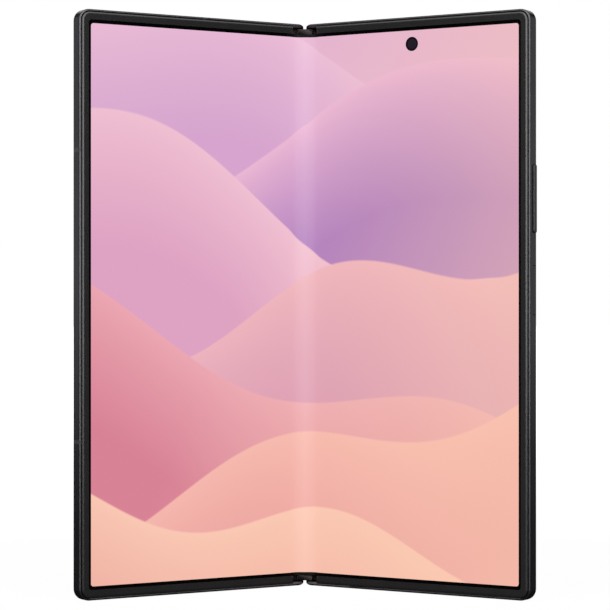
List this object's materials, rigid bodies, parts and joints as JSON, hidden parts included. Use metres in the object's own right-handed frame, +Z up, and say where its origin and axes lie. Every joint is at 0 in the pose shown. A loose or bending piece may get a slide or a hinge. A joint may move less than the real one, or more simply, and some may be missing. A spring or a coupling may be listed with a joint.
{
  "type": "foldable smartphone",
  "caption": "Book-style folding phone: two thin metal halves on a geared hinge, a bending inner screen, cover glass, rear camera island, rocker and push keys.",
  "frame": {"origin": "centre of the bounding box in X and Y, on the surface that the bottom edges stand on", "axes": "+Z up along the hinge, +X to the right half, +Y away from the viewer towards the hinge cover; drawn with each half folded 32 degrees from flat"},
  "size_m": [0.1242, 0.041, 0.1584],
  "materials": {
    "satin_frame": "satin anodised black",
    "frame_break": "matt",
    "soft_bezel": "matt",
    "screen": "gloss, lit pink to peach",
    "plate_steel": "plain",
    "outer_glass": "gloss black, opaque glass",
    "lens_glass": "gloss",
    "flash": "frosted",
    "island_metal": "satin anodised black",
    "cover_metal": "satin dark grey-brown",
    "hinge_steel": "ground",
    "disc_bronze": "plain",
    "flex_amber": "satin",
    "cell_wrap": "wrapped",
    "board_green": "solder mask",
    "can_steel": "plain",
    "module_black": "matt",
    "coil_copper": "enamelled wire"
  },
  "bodies": {
    "hinge": {"spine_cover": "cover_metal", "spine_end_caps": "cover_metal", "hinge_brackets": "hinge_steel", "bracket_screws": "hinge_steel", "center_rail": "plate_steel", "friction_discs": "disc_bronze", "hinge_flex": "flex_amber", "main_display_fold": "screen"},
    "left_half": {"left_frame": "satin_frame", "left_bezel": "soft_bezel", "left_display_plate": "plate_steel", "main_display_left": "screen", "cover_glass": "outer_glass", "cover_display": "screen", "cover_camera": "lens_glass", "left_battery": "cell_wrap", "left_sub_board": "board_green", "earpiece_speaker": "module_black", "earpiece_mesh": "module_black", "left_magnets": "can_steel", "left_antenna_breaks": "frame_break", "left_gear_shafts": "hinge_steel", "left_hinge_arms": "hinge_steel", "left_arm_screws": "hinge_steel", "sim_seal": "soft_bezel", "sim_reader": "can_steel"},
    "right_half": {"right_frame": "satin_frame", "right_bezel": "soft_bezel", "right_display_plate": "plate_steel", "main_display_right": "screen", "rear_cover": "outer_glass", "camera_island": "island_metal", "camera_lens_rings": "island_metal", "camera_lens_glasses": "lens_glass", "rear_camera_modules": "module_black", "flash_lens": "flash", "inner_camera": "lens_glass", "main_board": "board_green", "shield_cans": "can_steel", "right_battery": "cell_wrap", "charging_coil": "coil_copper", "usb_shell": "can_steel", "usb_tongue": "module_black", "loudspeaker": "module_black", "haptic_motor": "can_steel", "right_magnets": "can_steel", "right_antenna_breaks": "frame_break", "right_gear_shafts": "hinge_steel", "right_hinge_arms": "hinge_steel", "right_arm_screws": "hinge_steel", "key_switches": "module_black"},
    "left_idlers": {"left_idler_gears": "hinge_steel"},
    "right_idlers": {"right_idler_gears": "hinge_steel"},
    "left_wing_body": {"left_wing": "plate_steel"},
    "right_wing_body": {"right_wing": "plate_steel"},
    "volume_key_body": {"volume_key": "island_metal"},
    "power_key_body": {"power_key": "island_metal"},
    "sim_tray_body": {"sim_tray": "island_metal"}
  },
  "joints": [
    {"name": "right_fold", "type": "hinge", "parent": "hinge", "child": "right_half", "pos_m": [0.0021, 0.01756, 0.0792], "axis": [0, 0, -1], "range_deg": [-32, 58], "deforming": ["main_display_fold", "hinge_flex"]},
    {"name": "left_fold", "type": "hinge", "parent": "hinge", "child": "left_half", "pos_m": [-0.0021, 0.01756, 0.0792], "axis": [0, 0, 1], "range_deg": [-32, 58]},
    {"name": "right_idler_turn", "type": "hinge", "parent": "hinge", "child": "right_idlers", "pos_m": [0.0007, 0.01756, 0.0792], "axis": [0, 0, 1], "range_deg": [-32, 58]},
    {"name": "left_idler_turn", "type": "hinge", "parent": "hinge", "child": "left_idlers", "pos_m": [-0.0007, 0.01756, 0.0792], "axis": [0, 0, -1], "range_deg": [-32, 58]},
    {"name": "right_wing_tilt", "type": "hinge", "parent": "right_half", "child": "right_wing_body", "pos_m": [0.00626, 0.01384, 0.0792], "axis": [0, 0, -1], "range_deg": [-5.69, 10.32]},
    {"name": "left_wing_tilt", "type": "hinge", "parent": "left_half", "child": "left_wing_body", "pos_m": [-0.00626, 0.01384, 0.0792], "axis": [0, 0, 1], "range_deg": [-5.69, 10.32]},
    {"name": "volume_rock", "type": "hinge", "parent": "right_half", "child": "volume_key_body", "pos_m": [0.06009, -0.01768, 0.1076], "axis": [0.5299, 0.848, 0], "range_deg": [-1.2, 1.2], "stiffness_Nm_per_rad": 0.5},
    {"name": "power_press", "type": "slide", "parent": "right_half", "child": "power_key_body", "axis": [-0.848, 0.5299, 0], "range_m": [0, 0.00025], "stiffness_N_per_m": 4000},
    {"name": "sim_tray_slide", "type": "slide", "parent": "left_half", "child": "sim_tray_body", "axis": [0, 0, 1], "range_m": [0, 0.018]}
  ],
  "couplings": [
    {"joint": "left_fold", "follows": "right_fold", "ratio": 1},
    {"joint": "right_idler_turn", "follows": "right_fold", "ratio": 1},
    {"joint": "left_idler_turn", "follows": "right_fold", "ratio": 1},
    {"joint": "right_wing_tilt", "follows": "right_fold", "ratio": 0.17778},
    {"joint": "left_wing_tilt", "follows": "right_fold", "ratio": 0.17778}
  ]
}
